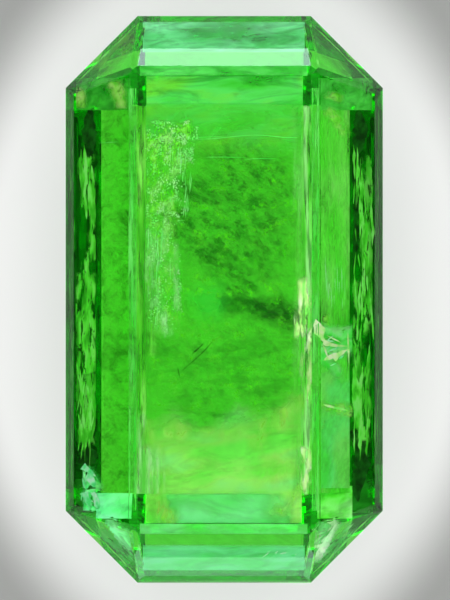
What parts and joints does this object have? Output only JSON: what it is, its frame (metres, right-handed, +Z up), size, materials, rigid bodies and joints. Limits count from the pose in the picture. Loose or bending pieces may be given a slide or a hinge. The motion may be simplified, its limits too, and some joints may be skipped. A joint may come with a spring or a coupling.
{
  "type": "emerald crystal",
  "caption": "Clear green emerald crystal in a long step cut with cut corners, a flat table on top and a flat back facet to rest on.",
  "frame": {"origin": "middle of the flat back facet that the crystal rests on", "axes": "+Z up through the table, +Y along the crystal's length, +X across its width"},
  "size_m": [0.0142, 0.0252, 0.0083],
  "materials": {
    "emerald": "polished"
  },
  "bodies": {
    "root": {"crystal": "emerald"}
  },
  "joints": []
}
